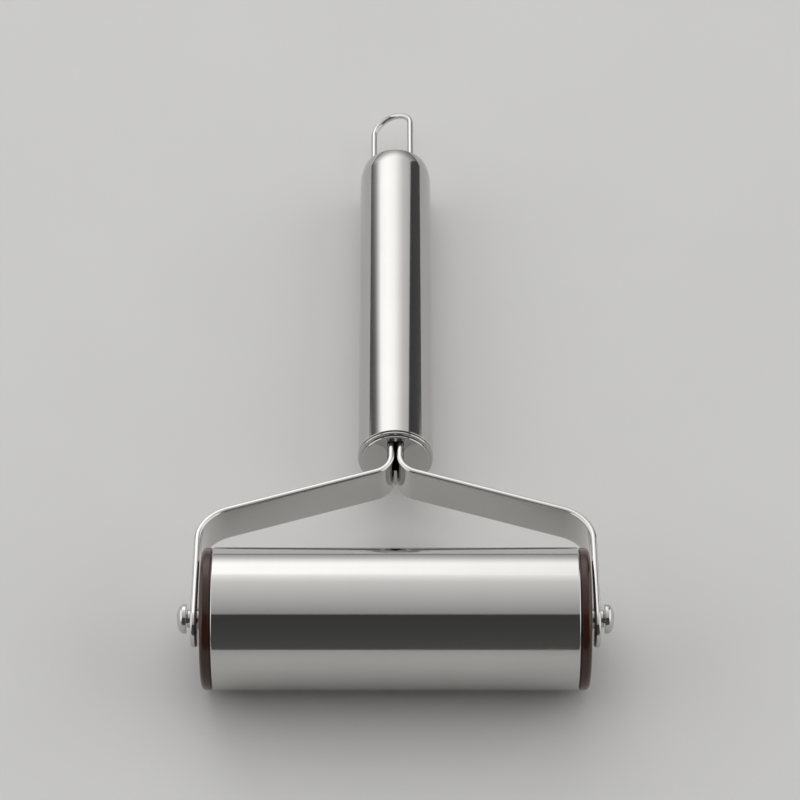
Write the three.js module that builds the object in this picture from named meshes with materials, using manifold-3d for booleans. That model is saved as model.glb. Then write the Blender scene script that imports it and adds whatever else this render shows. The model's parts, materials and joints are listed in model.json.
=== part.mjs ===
// Dough roller: a steel sleeve between two arms of bent strip, on a tubular handle with a wire loop.
// Millimetres, +Z up. Pieces are drawn in the tool's own frame: the origin is the middle of the roller's
// axis, +X runs along the axle and +Y along the handle. The finished tool lies on the plane z = 0, on its
// roller and the heel of its handle, with its bounding box centred over the origin.

import * as THREE from 'three';
import { mergeVertices } from 'three/addons/utils/BufferGeometryUtils.js';
import Module from 'manifold-3d';

const wasm = await Module();
wasm.setup();

// Clearance between pieces that touch on the real tool
const GAP = 0.3;

// Roller sleeve
const ROLLER_R = 20;
const ROLLER_LENGTH = 102;
const ROLLER_WALL = 0.8;
const ROLLER_LIP = 0.4;
const ROLLER_FACETS = 72;

// Moulded end caps of the roller
const CAP_R = 19.9;
const CAP_FACE_X = 54.1;
const CAP_EDGE_R = 1.5;
const CAP_WEB = 2.4;
const CAP_SPIGOT_DEPTH = 9;
const CAP_SPIGOT_WALL = 2;
const CAP_LEAD_IN = 0.8;
const CAP_HUB_R = 5.5;
const CAP_BOSS_R = 5;
const CAP_BOSS_HEIGHT = 0.8;
const CAP_RIB_COUNT = 6;
const CAP_RIB_THICKNESS = 1.4;
const CAP_RIB_SETBACK = 1;
const CAP_FACETS = 48;

// Axle rod and the screws in its tapped ends
const AXLE_R = 2.6;
const AXLE_END_X = 58.1;
const AXLE_TAP_R = 1.55;
const AXLE_TAP_DEPTH = 10;
const SCREW_HEAD_R = 4.15;
const SCREW_HEAD_HEIGHT = 2.8;
const SCREW_HEAD_SIDE = 0.8;
const SCREW_SHANK_R = 1.2;
const SCREW_SHANK_LENGTH = 8;
const RECESS_DEPTH = 1.3;
const RECESS_WIDTH = 0.9;
const RECESS_MOUTH = 4.4;
const RECESS_FLOOR = 2.4;
const AXLE_FACETS = 32;
const SMALL_BREAK = 0.2;

// Fork arms: round-edged strip bent flat-wise, drawn in plan
const STRIP_THICKNESS = 1.9;
const STRIP_WIDTH = 12;
const STRIP_EDGE_R = 0.8;
const LEG_X = 56.2;
const NECK_X = 1.27;
const SHOULDER_SLOPE = THREE.MathUtils.degToRad(19.5);
const SHOULDER_CORNER_Y = 34.2;
const SHOULDER_BEND_R = 12.5;
const NECK_BEND_R = 6.5;
const TAIL_BEND_R = 1.4;
const TAIL_END_X = 3.7;
const ARM_END_Y = -2.7;
const ARM_HOLE_R = 3;

// Handle tube, whose axis runs below the middle of the fork
const HANDLE_DROP = 2.1;
const HANDLE_R = 11;
const HANDLE_WALL = 0.7;
const HANDLE_FACETS = 48;

// Front cap: a shallow pressed cup with its floor outwards and a bead against the tube's end
const FRONT_FACE_Y = 63.5;
const FRONT_FACE_R = 10;
const FRONT_FACE_EDGE_R = 0.5;
const FRONT_FLOOR = 1.5;
const BEAD_R = 0.4;
const SKIRT_WALL = 0.8;
const SKIRT_DEPTH = 10;
const SLOT_SIDE_CLEARANCE = 0.5;

// Rear cap and the wire loop through it
const REAR_FACE_Y = 191;
const REAR_EDGE_R = 2.5;
const REAR_FLOOR = 0.8;
const REAR_SKIRT_DEPTH = 6;
const LOOP_WIRE_R = 0.95;
const LOOP_R = 6.37;
const LOOP_CROWN_Y = 212.4;
const LOOP_ROLL = THREE.MathUtils.degToRad(25.5);
const LOOP_OFFSET = -1.2;
const HOOK_R = 2;
const HOOK_TIP_X = 2.6;
const HOOK_Y = 187.3;
const WIRE_STEPS = 80;
const WIRE_CURVE_SEGMENTS = 5;

// Values that follow from the sizes above
const FRONT_BACK_Y = FRONT_FACE_Y + FRONT_FLOOR;
const REAR_SEAM_Y = REAR_FACE_Y - REAR_EDGE_R;
const SKIRT_R = HANDLE_R - HANDLE_WALL - GAP;
const TAIL_Y = FRONT_BACK_Y + GAP + STRIP_THICKNESS / 2;
const NECK_CORNER_Y = SHOULDER_CORNER_Y + (LEG_X - NECK_X) * Math.tan(SHOULDER_SLOPE);
const QUARTER = Math.PI / 2;

const steel = (roughness) => ({ color: 0xc9c8c5, metalness: 1, roughness });
const POLISHED_STEEL = steel(0.2);
const BRIGHT_STEEL = steel(0.3);
const BROWN_PLASTIC = { color: 0x3c261f, metalness: 0, roughness: 0.38 };

const point = (x, y) => new THREE.Vector2(x, y);

// Points along an arc, both ends included
function arc(centreX, centreY, radius, from, to, steps) {
  return Array.from({ length: steps + 1 }, (_, i) => {
    const angle = from + ((to - from) * i) / steps;
    return point(centreX + radius * Math.cos(angle), centreY + radius * Math.sin(angle));
  });
}

// Revolves a profile of (radius, height) about +Y; a ring's profile closes on itself
function turned(profile, facets, ring = false) {
  return new THREE.LatheGeometry(ring ? [...profile, profile[0].clone()] : profile, facets);
}

// Lays a piece turned about +Y along +X
const alongX = (geometry) => geometry.rotateZ(-QUARTER);

// A closed geometry as a solid that can be cut and joined
function toSolid(geometry) {
  const bare = geometry.clone();
  bare.deleteAttribute('normal');
  bare.deleteAttribute('uv');
  const merged = mergeVertices(bare);
  const corners = merged.index.array;
  const triangles = [];
  for (let i = 0; i < corners.length; i += 3) {
    const [a, b, c] = corners.slice(i, i + 3);
    if (a !== b && b !== c && c !== a) triangles.push(a, b, c);
  }
  return new wasm.Manifold(new wasm.Mesh({
    numProp: 3,
    vertProperties: new Float32Array(merged.attributes.position.array),
    triVerts: new Uint32Array(triangles),
  }));
}

function toGeometry(solid) {
  const { vertProperties, triVerts } = solid.getMesh();
  const geometry = new THREE.BufferGeometry();
  geometry.setAttribute('position', new THREE.BufferAttribute(vertProperties, 3));
  geometry.setIndex(new THREE.BufferAttribute(triVerts, 1));
  geometry.computeVertexNormals();
  return geometry;
}

function piece(name, geometry, finish) {
  const mesh = new THREE.Mesh(geometry, new THREE.MeshStandardMaterial(finish));
  mesh.name = name;
  return mesh;
}

// Outline of a strip whose centre line starts at a point and heading and follows straights and bends
function stripOutline(start, startHeading, moves, thickness, bendSteps) {
  const left = [];
  const right = [];
  const place = start.clone();
  let heading = startHeading;
  const mark = () => {
    const side = point(-Math.sin(heading), Math.cos(heading)).multiplyScalar(thickness / 2);
    left.push(place.clone().add(side));
    right.unshift(place.clone().sub(side));
  };
  mark();
  for (const { straight = 0, bend = 0, radius = 0 } of moves) {
    const steps = bend ? bendSteps : 1;
    for (let i = 0; i < steps; i += 1) {
      const turn = bend / steps;
      const chord = straight + 2 * radius * Math.sin(Math.abs(turn) / 2);
      heading += turn / 2;
      place.add(point(Math.cos(heading), Math.sin(heading)).multiplyScalar(chord));
      heading += turn / 2;
      mark();
    }
  }
  return [...left, ...right];
}

// One arm: from a tail clinched behind the front cap, out through its slot, along the shoulder to the leg
function armGeometry() {
  const turn = QUARTER - SHOULDER_SLOPE;
  const neckTangent = NECK_BEND_R * Math.tan(turn / 2);
  const shoulderTangent = SHOULDER_BEND_R * Math.tan(turn / 2);
  const shoulderRun = (LEG_X - NECK_X) / Math.cos(SHOULDER_SLOPE);
  const tipY = ARM_END_Y - STRIP_WIDTH / 2;
  const outline = stripOutline(point(TAIL_END_X, TAIL_Y), Math.PI, [
    { straight: TAIL_END_X - NECK_X - TAIL_BEND_R },
    { bend: QUARTER, radius: TAIL_BEND_R },
    { straight: TAIL_Y - TAIL_BEND_R - NECK_CORNER_Y - neckTangent },
    { bend: turn, radius: NECK_BEND_R },
    { straight: shoulderRun - neckTangent - shoulderTangent },
    { bend: -turn, radius: SHOULDER_BEND_R },
    { straight: SHOULDER_CORNER_Y - shoulderTangent - tipY + STRIP_THICKNESS },
  ], STRIP_THICKNESS, 10);
  const flat = STRIP_WIDTH - 2 * STRIP_EDGE_R;
  const strip = new THREE.ExtrudeGeometry(new THREE.Shape(outline), {
    depth: flat,
    bevelThickness: STRIP_EDGE_R,
    bevelSize: STRIP_EDGE_R,
    bevelOffset: -STRIP_EDGE_R,
    bevelSegments: 3,
  });
  strip.translate(0, 0, -flat / 2);

  const side = new THREE.Shape();
  side.moveTo(ARM_END_Y, -STRIP_WIDTH);
  side.lineTo(TAIL_Y + STRIP_WIDTH, -STRIP_WIDTH);
  side.lineTo(TAIL_Y + STRIP_WIDTH, STRIP_WIDTH);
  side.lineTo(ARM_END_Y, STRIP_WIDTH);
  side.absarc(ARM_END_Y, 0, STRIP_WIDTH / 2, QUARTER, 3 * QUARTER, false);
  side.holes.push(new THREE.Path().absarc(0, 0, ARM_HOLE_R, 0, 4 * QUARTER, true));
  const blank = new THREE.ExtrudeGeometry(side, {
    depth: LEG_X + STRIP_WIDTH,
    curveSegments: 16,
    bevelEnabled: false,
  });
  const toSideView = new THREE.Matrix4().makeBasis(
    new THREE.Vector3(0, 1, 0),
    new THREE.Vector3(0, 0, 1),
    new THREE.Vector3(1, 0, 0),
  );
  return toGeometry(toSolid(strip).intersect(toSolid(blank.applyMatrix4(toSideView))));
}

// The other arm is the same strip turned half round the handle
function arms() {
  const right = piece('fork_arm_right', armGeometry(), BRIGHT_STEEL);
  const left = piece('fork_arm_left', armGeometry(), BRIGHT_STEEL);
  left.rotation.y = Math.PI;
  return [right, left];
}

function handleTube() {
  const inner = HANDLE_R - HANDLE_WALL;
  const front = FRONT_BACK_Y + GAP;
  const rear = REAR_SEAM_Y - GAP;
  const profile = [
    point(inner, front),
    point(HANDLE_R - SMALL_BREAK, front),
    point(HANDLE_R, front + SMALL_BREAK),
    point(HANDLE_R, rear),
    point(inner, rear),
  ];
  return piece('handle_tube', turned(profile, HANDLE_FACETS, true), POLISHED_STEEL);
}

function frontCap() {
  const skirtInner = SKIRT_R - SKIRT_WALL;
  const skirtEnd = FRONT_BACK_Y + SKIRT_DEPTH;
  const faceEdge = FRONT_FACE_R - FRONT_FACE_EDGE_R;
  const profile = [
    point(0, FRONT_FACE_Y),
    ...arc(faceEdge, FRONT_FACE_Y + FRONT_FACE_EDGE_R, FRONT_FACE_EDGE_R, -QUARTER, 0, 3),
    point(FRONT_FACE_R, FRONT_BACK_Y - 2 * BEAD_R),
    ...arc(HANDLE_R - BEAD_R, FRONT_BACK_Y - BEAD_R, BEAD_R, -QUARTER, QUARTER, 6),
    point(SKIRT_R, FRONT_BACK_Y),
    point(SKIRT_R, skirtEnd),
    point(skirtInner, skirtEnd),
    point(skirtInner, FRONT_BACK_Y),
    point(0, FRONT_BACK_Y),
  ];
  const slot = new THREE.BoxGeometry(
    2 * NECK_X + STRIP_THICKNESS + 2 * SLOT_SIDE_CLEARANCE,
    4 * FRONT_FLOOR,
    STRIP_WIDTH + 2 * SLOT_SIDE_CLEARANCE,
  );
  slot.translate(0, FRONT_FACE_Y + FRONT_FLOOR / 2, HANDLE_DROP);
  const cup = toSolid(turned(profile, HANDLE_FACETS)).subtract(toSolid(slot));
  return piece('handle_front_cap', toGeometry(cup), POLISHED_STEEL);
}

function rearCap() {
  const skirtInner = SKIRT_R - SKIRT_WALL;
  const skirtEnd = REAR_SEAM_Y - REAR_SKIRT_DEPTH;
  const edgeCentre = HANDLE_R - REAR_EDGE_R;
  const profile = [
    point(0, REAR_FACE_Y - REAR_FLOOR),
    ...arc(edgeCentre, REAR_SEAM_Y, REAR_EDGE_R - REAR_FLOOR, QUARTER, 0, 3).slice(0, -1),
    point(skirtInner, REAR_SEAM_Y - SMALL_BREAK),
    point(skirtInner, skirtEnd),
    point(SKIRT_R, skirtEnd),
    point(SKIRT_R, REAR_SEAM_Y),
    ...arc(edgeCentre, REAR_SEAM_Y, REAR_EDGE_R, 0, QUARTER, 6),
    point(0, REAR_FACE_Y),
  ];
  let cap = toSolid(turned(profile, HANDLE_FACETS));
  for (const side of [-1, 1]) {
    const hole = new THREE.CylinderGeometry(LOOP_WIRE_R + GAP, LOOP_WIRE_R + GAP, 4 * REAR_FLOOR, 16);
    hole.translate(LOOP_OFFSET + side * LOOP_R, REAR_FACE_Y - REAR_FLOOR / 2, 0);
    cap = cap.subtract(toSolid(hole));
  }
  return piece('handle_rear_cap', toGeometry(cap), POLISHED_STEEL);
}

// A plane path lifted into space, for a section to follow
class PlanePath extends THREE.Curve {
  constructor(path) {
    super();
    this.path = path;
  }

  getPoint(t, target = new THREE.Vector3()) {
    const { x, y } = this.path.getPoint(t);
    return target.set(x, y, 0);
  }
}

// Wire from one inward hook behind the rear cap, round the crown, to the other hook
function hangingLoop() {
  const bend = LOOP_R - HOOK_R;
  const path = new THREE.Path();
  path.moveTo(HOOK_TIP_X, HOOK_Y);
  path.lineTo(bend, HOOK_Y);
  path.absarc(bend, HOOK_Y + HOOK_R, HOOK_R, -QUARTER, 0, false);
  path.lineTo(LOOP_R, LOOP_CROWN_Y);
  path.absarc(0, LOOP_CROWN_Y, LOOP_R, 0, 2 * QUARTER, false);
  path.lineTo(-LOOP_R, HOOK_Y + HOOK_R);
  path.absarc(-bend, HOOK_Y + HOOK_R, HOOK_R, 2 * QUARTER, 3 * QUARTER, false);
  path.lineTo(-HOOK_TIP_X, HOOK_Y);
  const section = new THREE.Shape().absarc(0, 0, LOOP_WIRE_R, 0, 4 * QUARTER, false);
  const wire = new THREE.ExtrudeGeometry(section, {
    steps: WIRE_STEPS,
    curveSegments: WIRE_CURVE_SEGMENTS,
    extrudePath: new PlanePath(path),
  });
  return piece('hanging_loop', wire.translate(LOOP_OFFSET, 0, 0), BRIGHT_STEEL);
}

function rollerTube() {
  const half = ROLLER_LENGTH / 2;
  const inner = ROLLER_R - ROLLER_WALL;
  const profile = [
    point(inner, -half),
    point(ROLLER_R - ROLLER_LIP, -half),
    point(ROLLER_R, -half + ROLLER_LIP),
    point(ROLLER_R, half - ROLLER_LIP),
    point(ROLLER_R - ROLLER_LIP, half),
    point(inner, half),
  ];
  return piece('roller_tube', alongX(turned(profile, ROLLER_FACETS, true)), POLISHED_STEEL);
}

// A moulded cap for the +X end: flange, ribbed spigot inside the sleeve, and a bored hub with a low boss
function rollerCapGeometry() {
  const seat = ROLLER_LENGTH / 2 + GAP;
  const web = CAP_FACE_X - CAP_WEB;
  const bore = AXLE_R + GAP;
  const spigotR = ROLLER_R - ROLLER_WALL - GAP;
  const spigotInner = spigotR - CAP_SPIGOT_WALL;
  const spigotEnd = seat - CAP_SPIGOT_DEPTH;
  const boss = CAP_FACE_X + CAP_BOSS_HEIGHT;
  const profile = [
    point(bore, spigotEnd),
    point(CAP_HUB_R, spigotEnd),
    point(CAP_HUB_R, web),
    point(spigotInner, web),
    point(spigotInner, spigotEnd),
    point(spigotR - CAP_LEAD_IN, spigotEnd),
    point(spigotR, spigotEnd + CAP_LEAD_IN),
    point(spigotR, seat),
    point(CAP_R, seat),
    ...arc(CAP_R - CAP_EDGE_R, CAP_FACE_X - CAP_EDGE_R, CAP_EDGE_R, 0, QUARTER, 4),
    point(CAP_BOSS_R, CAP_FACE_X),
    point(CAP_BOSS_R, boss - SMALL_BREAK),
    point(CAP_BOSS_R - SMALL_BREAK, boss),
    point(bore, boss),
  ];
  let cap = toSolid(alongX(turned(profile, CAP_FACETS, true)));
  const reach = spigotInner - CAP_HUB_R + CAP_SPIGOT_WALL;
  const depth = web - spigotEnd;
  for (let i = 0; i < CAP_RIB_COUNT; i += 1) {
    const rib = new THREE.BoxGeometry(depth, CAP_RIB_THICKNESS, reach);
    rib.translate(web - depth / 2 + CAP_RIB_SETBACK, 0, (spigotInner + CAP_HUB_R) / 2);
    rib.rotateX((4 * QUARTER * i) / CAP_RIB_COUNT);
    cap = cap.add(toSolid(rib));
  }
  return toGeometry(cap);
}

function axleRod() {
  const tapEnd = AXLE_END_X - AXLE_TAP_DEPTH;
  const half = [
    point(AXLE_R, AXLE_END_X - SMALL_BREAK),
    point(AXLE_R - SMALL_BREAK, AXLE_END_X),
    point(AXLE_TAP_R, AXLE_END_X),
    point(AXLE_TAP_R, tapEnd),
    point(0, tapEnd),
  ];
  const mirrored = half.map(({ x, y }) => point(x, -y)).reverse();
  return piece('axle_rod', alongX(turned([...mirrored, ...half], AXLE_FACETS)), BRIGHT_STEEL);
}

// A domed screw for the +X end, with a cross recess narrowing to its floor
function screwGeometry() {
  const seat = AXLE_END_X + GAP;
  const crown = seat + SCREW_HEAD_HEIGHT;
  const dome = SCREW_HEAD_HEIGHT - SCREW_HEAD_SIDE;
  const domeSteps = 7;
  const profile = [
    point(0, seat - SCREW_SHANK_LENGTH),
    point(SCREW_SHANK_R - SMALL_BREAK, seat - SCREW_SHANK_LENGTH),
    point(SCREW_SHANK_R, seat - SCREW_SHANK_LENGTH + SMALL_BREAK),
    point(SCREW_SHANK_R, seat),
    point(SCREW_HEAD_R - SMALL_BREAK, seat),
    point(SCREW_HEAD_R, seat + SMALL_BREAK),
    ...arc(0, 0, 1, 0, QUARTER, domeSteps).slice(0, -1).map(({ x, y }) => (
      point(SCREW_HEAD_R * x, crown - dome + dome * y)
    )),
    point(0, crown),
  ];
  let screw = toSolid(alongX(turned(profile, AXLE_FACETS)));
  const blade = new THREE.Shape([
    point(crown - RECESS_DEPTH, -RECESS_FLOOR / 2),
    point(crown, -RECESS_MOUTH / 2),
    point(crown + RECESS_DEPTH, -RECESS_MOUTH / 2),
    point(crown + RECESS_DEPTH, RECESS_MOUTH / 2),
    point(crown, RECESS_MOUTH / 2),
    point(crown - RECESS_DEPTH, RECESS_FLOOR / 2),
  ]);
  for (const turn of [0, QUARTER]) {
    const slot = new THREE.ExtrudeGeometry(blade, { depth: RECESS_WIDTH, bevelEnabled: false });
    slot.translate(0, 0, -RECESS_WIDTH / 2);
    slot.rotateX(turn);
    screw = screw.subtract(toSolid(slot));
  }
  return toGeometry(screw);
}

// The same piece at both ends of the axle
function endPair(name, makeGeometry, finish) {
  const right = piece(`${name}_right`, makeGeometry(), finish);
  const left = piece(`${name}_left`, makeGeometry(), finish);
  left.rotation.z = Math.PI;
  return [right, left];
}

function handleAndFork() {
  const rear = new THREE.Group();
  rear.add(rearCap(), hangingLoop());
  rear.rotation.y = -LOOP_ROLL;
  const handle = new THREE.Group();
  handle.add(handleTube(), frontCap(), rear);
  handle.position.z = -HANDLE_DROP;
  const group = new THREE.Group();
  group.add(handle, ...arms());
  group.add(axleRod(), ...endPair('axle_screw', screwGeometry, BRIGHT_STEEL));
  return group;
}

// The roller stands with one of its flats down
function roller() {
  const group = new THREE.Group();
  group.add(rollerTube(), ...endPair('roller_cap', rollerCapGeometry, BROWN_PLASTIC));
  group.rotation.x = Math.PI / ROLLER_FACETS;
  return group;
}

// Angle that brings the heel of the handle down to the plane under the roller
function lieAngle() {
  const heel = HANDLE_DROP + HANDLE_R - REAR_EDGE_R;
  const drop = ROLLER_R * Math.cos(Math.PI / ROLLER_FACETS) - REAR_EDGE_R;
  return Math.asin(drop / Math.hypot(REAR_SEAM_Y, heel)) - Math.atan2(heel, REAR_SEAM_Y);
}

const held = handleAndFork();
held.rotation.x = -lieAngle();

const tool = new THREE.Group();
tool.add(held, roller());

const box = new THREE.Box3().setFromObject(tool, true);
const middle = box.getCenter(new THREE.Vector3());
tool.position.set(-middle.x, -middle.y, -box.min.z);

const doughRoller = new THREE.Group();
doughRoller.add(tool);

export default doughRoller;
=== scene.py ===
"""Looks of a hand dough roller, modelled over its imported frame.

Pieces are modelled in millimetres in the tool's own frame: the origin is the middle of the roller's axis,
+X runs along the axle and +Y along the handle. A finished piece is then laid into the row frame, in metres.
"""

import json
import logging
import math
from dataclasses import dataclass, field
from enum import Enum
from functools import cache
from itertools import pairwise
from typing import Callable, ClassVar, Iterable, Sequence

import bmesh
import bpy
from mathutils import Matrix, Vector


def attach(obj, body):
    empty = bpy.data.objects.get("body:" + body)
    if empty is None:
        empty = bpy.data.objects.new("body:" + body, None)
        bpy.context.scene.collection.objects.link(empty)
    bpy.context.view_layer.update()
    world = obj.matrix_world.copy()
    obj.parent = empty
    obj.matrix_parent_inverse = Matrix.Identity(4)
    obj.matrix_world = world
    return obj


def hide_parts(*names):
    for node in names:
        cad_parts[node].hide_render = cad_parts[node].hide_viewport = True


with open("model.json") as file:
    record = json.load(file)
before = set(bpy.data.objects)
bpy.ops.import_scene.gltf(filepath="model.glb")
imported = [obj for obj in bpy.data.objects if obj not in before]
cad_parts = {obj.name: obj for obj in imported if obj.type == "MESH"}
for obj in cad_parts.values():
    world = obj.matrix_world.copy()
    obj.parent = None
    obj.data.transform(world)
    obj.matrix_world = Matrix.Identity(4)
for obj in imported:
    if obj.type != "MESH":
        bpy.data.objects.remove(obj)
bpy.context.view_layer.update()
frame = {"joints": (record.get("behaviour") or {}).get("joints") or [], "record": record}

LOG = logging.getLogger("dough_roller")

MM = 0.001
QUARTER = math.pi / 2
HALF_TURN = math.pi
TURN = 2 * math.pi
MERGE_DISTANCE = 0.001
SMOOTH_ANGLE = math.radians(35)
SOFT_STEPS = 3  # facets across a bevelled edge
BREAK_STEPS = 4  # facets across a small rounded edge of a turned profile
CUTTER_REACH = 4  # a cutter's length, counted in thicknesses of what it cuts
NOISE_MEAN = 0.5

Point = tuple[float, float]
Colour = tuple[float, float, float]


class Body(Enum):
    """Bodies of the frame that pieces ride on."""

    FRAME = "frame"
    AXLE = "axle"
    ROLLER = "roller"


class Slot(Enum):
    """Material slots of the record."""

    POLISHED_STEEL = "polished_steel"
    BRIGHT_STEEL = "bright_steel"
    BROWN_PLASTIC = "brown_plastic"


class Axis(Enum):
    """Axes of the tool's own frame."""

    X = 0
    Y = 1
    Z = 2


class Joining(Enum):
    """What a Boolean modifier does with its tool."""

    CUT = "DIFFERENCE"
    ADD = "UNION"


class Grain(Enum):
    """Kinds of noise, each with its number of octaves and the weight of the finer ones."""

    WAVES = (1.0, 0.5)
    FINE = (3.0, 0.6)
    MOTTLE = (4.0, 0.5)
    CLOUDS = (4.0, 0.55)
    PATCHES = (6.0, 0.7)


@dataclass(frozen=True)
class ToolFrame:
    """Where the tool's own frame lies in the row frame."""

    origin: tuple[float, float, float]
    tilt: float

    @classmethod
    def from_record(cls) -> "ToolFrame":
        """Read the roller's axis and the handle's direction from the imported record.

        Returns:
            The tool's frame, in metres and radians.
        """
        spin = next(joint for joint in frame["joints"] if joint["name"] == "roller_spin")
        loop = next(mount for mount in frame["record"]["mounts"] if mount["name"] == "hanging_loop")
        _, along, up = loop["axis"]
        return cls(tuple(spin["pos_m"]), math.atan2(up, along))


TOOL = ToolFrame.from_record()


def arc(centre: Point, radius: float, start: float, end: float, steps: int) -> list[Point]:
    """Points along an arc, both ends included.

    Args:
        centre: centre of the arc.
        radius: its radius.
        start: angle of the first point, in radians.
        end: angle of the last point.
        steps: number of chords.

    Returns:
        The points in order.
    """
    angles = [start + (end - start) * step / steps for step in range(steps + 1)]
    return [(centre[0] + radius * math.cos(a), centre[1] + radius * math.sin(a)) for a in angles]


def mirrored(half: Sequence[Point]) -> list[Point]:
    """Half a profile, led in by its mirror image across height 0."""
    return [*((radius, -height) for radius, height in reversed(half)), *half]


@dataclass
class Workpiece:
    """One mesh on the bench, in millimetres, shaped with Blender's own operators."""

    obj: bpy.types.Object

    @classmethod
    def taken(cls, name: str) -> "Workpiece":
        """Take the active object as a piece of that name."""
        bpy.context.object.name = name
        return cls(bpy.context.object)

    @classmethod
    def turned(cls, name: str, profile: Sequence[Point], segments: int, ring: bool = False) -> "Workpiece":
        """Draw a profile by extruding a point, then spin it about +Y.

        Args:
            name: name of the piece.
            profile: points of (radius, height).
            segments: number of steps round.
            ring: whether the profile closes on itself instead of on the axis.

        Returns:
            The turned piece.
        """
        bpy.ops.object.select_all(action="DESELECT")
        bpy.ops.mesh.primitive_plane_add(size=1.0, enter_editmode=True)
        bpy.ops.mesh.select_mode(type="VERT")
        piece = cls.taken(name)
        bpy.ops.mesh.merge(type="CENTER")
        bpy.ops.transform.translate(value=(*profile[0], 0.0))
        for (radius, height), (next_radius, next_height) in pairwise(profile):
            step = (next_radius - radius, next_height - height, 0.0)
            bpy.ops.mesh.extrude_vertices_move(TRANSFORM_OT_translate={"value": step})
        if ring:
            ends = [Vector((*profile[0], 0.0)), Vector((*profile[-1], 0.0))]
            piece.select_vertices(lambda at: min((at - end).length for end in ends) < MERGE_DISTANCE)
            bpy.ops.mesh.edge_face_add()
        bpy.ops.mesh.select_all(action="SELECT")
        bpy.ops.mesh.spin(steps=segments, angle=TURN, center=(0.0, 0.0, 0.0), axis=(0.0, 1.0, 0.0))
        piece.close()
        return piece

    @classmethod
    def block(cls, name: str, size: Sequence[float], place: Sequence[float]) -> "Workpiece":
        """A block to cut or join with.

        Args:
            name: name of the block.
            size: its sides along X, Y and Z.
            place: its centre.

        Returns:
            The block.
        """
        bpy.ops.object.select_all(action="DESELECT")
        bpy.ops.mesh.primitive_cube_add(size=1.0, location=place)
        piece = cls.taken(name)
        piece.obj.scale = size
        return piece.settle()

    @classmethod
    def rod(cls, name: str, radius: float, length: float, place: Sequence[float], sides: int) -> "Workpiece":
        """A round rod along +Y to cut with.

        Args:
            name: name of the rod.
            radius: its radius.
            length: its length.
            place: its centre.
            sides: number of sides.

        Returns:
            The rod.
        """
        bpy.ops.object.select_all(action="DESELECT")
        bpy.ops.mesh.primitive_cylinder_add(
            vertices=sides, radius=radius, depth=length, location=place, rotation=(QUARTER, 0.0, 0.0)
        )
        return cls.taken(name).settle()

    def activate(self) -> None:
        """Make this the only selected object, and the active one."""
        bpy.ops.object.select_all(action="DESELECT")
        self.obj.select_set(True)
        bpy.context.view_layer.objects.active = self.obj

    def settle(self) -> "Workpiece":
        """Carry the active piece's place, turn and scale over into its mesh."""
        bpy.ops.object.transform_apply(location=True, rotation=True, scale=True)
        return self

    def select_vertices(self, test: Callable[[Vector], bool]) -> None:
        """Select, in edit mode, the vertices whose place passes a test.

        Args:
            test: says whether a place is wanted.
        """
        bpy.ops.mesh.select_mode(type="VERT")
        bpy.ops.mesh.select_all(action="DESELECT")
        mesh = bmesh.from_edit_mesh(self.obj.data)
        for vertex in mesh.verts:
            vertex.select_set(test(vertex.co))
        mesh.select_flush(True)
        bmesh.update_edit_mesh(self.obj.data)

    def select_edges(self, test: Callable[[Vector, Vector], bool]) -> None:
        """Select, in edit mode, the edges whose two ends pass a test.

        Args:
            test: says whether an edge between two places is wanted.
        """
        bpy.ops.mesh.select_mode(type="EDGE")
        bpy.ops.mesh.select_all(action="DESELECT")
        mesh = bmesh.from_edit_mesh(self.obj.data)
        for edge in mesh.edges:
            edge.select_set(test(edge.verts[0].co, edge.verts[1].co))
        bmesh.update_edit_mesh(self.obj.data)

    def close(self) -> None:
        """Merge doubles, turn the faces outwards and leave edit mode."""
        bpy.ops.mesh.select_all(action="SELECT")
        bpy.ops.mesh.remove_doubles(threshold=MERGE_DISTANCE)
        bpy.ops.mesh.normals_make_consistent(inside=False)
        bpy.ops.object.mode_set(mode="OBJECT")

    def turn(self, axis: Axis, angle: float) -> "Workpiece":
        """Turn the piece about an axis of the tool's frame.

        Args:
            axis: the axis.
            angle: right-handed angle, in radians.

        Returns:
            The same piece.
        """
        self.activate()
        self.obj.rotation_euler[axis.value] = angle
        return self.settle()

    def copy(self, name: str) -> "Workpiece":
        """Copy the piece with a mesh of its own.

        Args:
            name: name of the copy.

        Returns:
            The copy.
        """
        self.activate()
        bpy.ops.object.duplicate(linked=False)
        return Workpiece.taken(name)

    def modify(self, kind: str, **settings: object) -> None:
        """Add a modifier and apply it.

        Args:
            kind: the modifier's type.
            settings: its properties.
        """
        self.activate()
        bpy.ops.object.modifier_add(type=kind)
        modifier = self.obj.modifiers[-1]
        for name, value in settings.items():
            setattr(modifier, name, value)
        bpy.ops.object.modifier_apply(modifier=modifier.name)

    def join(self, tool: "Workpiece", joining: Joining) -> None:
        """Cut with another piece, or add it, and remove that piece.

        Args:
            tool: the other piece.
            joining: cut or add.
        """
        self.modify("BOOLEAN", object=tool.obj, operation=joining.value, solver="EXACT")
        mesh = tool.obj.data
        bpy.data.objects.remove(tool.obj)
        bpy.data.meshes.remove(mesh)

    def smooth(self) -> "Workpiece":
        """Shade smooth across shallow edges, led by the large faces so that straight walls stay straight.

        Returns:
            The same piece.
        """
        self.activate()
        bpy.ops.object.shade_smooth_by_angle(angle=SMOOTH_ANGLE)
        self.modify("WEIGHTED_NORMAL", keep_sharp=True)
        return self

    def lay(self) -> None:
        """Lay the piece into the row frame, in metres."""
        self.activate()
        self.obj.scale = (MM, MM, MM)
        self.obj.rotation_euler = (TOOL.tilt, 0.0, 0.0)
        self.obj.location = TOOL.origin
        self.settle()

    def dress(self, finish: "Finish", body: Body, node: str) -> None:
        """Lay the piece in place, give it its finish and its body, and hide the node that it replaces.

        Args:
            finish: what its surface is.
            body: what it moves with.
            node: the node that it replaces.
        """
        self.lay()
        self.obj.data.materials.clear()
        self.obj.data.materials.append(finish.material())
        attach(self.obj, body.value)
        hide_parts(node)


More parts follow.
